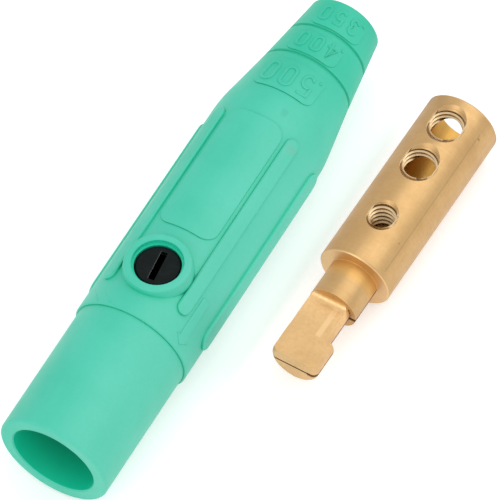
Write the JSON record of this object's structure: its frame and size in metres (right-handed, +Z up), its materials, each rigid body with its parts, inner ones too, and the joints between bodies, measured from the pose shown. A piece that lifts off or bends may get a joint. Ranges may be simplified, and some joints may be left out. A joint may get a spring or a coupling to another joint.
{
  "type": "cam-lock power connector",
  "caption": "Single-pole cam-lock power connector taken apart: tapered rubber sleeve with a slotted retaining screw, and its brass contact with a split cam pin beside it.",
  "frame": {"origin": "centre of the sleeve's mouth, on the sleeve's axis", "axes": "+Y along the sleeve from its mouth to its cable end, +Z up along the retaining screw, +X towards the contact"},
  "size_m": [0.0553, 0.1241, 0.028],
  "materials": {
    "green_rubber": "satin moulded rubber",
    "black_plastic": "matte moulded plastic",
    "machined_brass": "satin turned brass"
  },
  "bodies": {
    "housing": {"insulator_sleeve": "green_rubber", "contact": "machined_brass"},
    "screw": {"retaining_screw": "black_plastic"}
  },
  "joints": [
    {"name": "screw_turn", "type": "hinge", "parent": "housing", "child": "screw", "pos_m": [0, 0.0443, 0.0114], "axis": [0, 0, 1], "continuous": true}
  ]
}
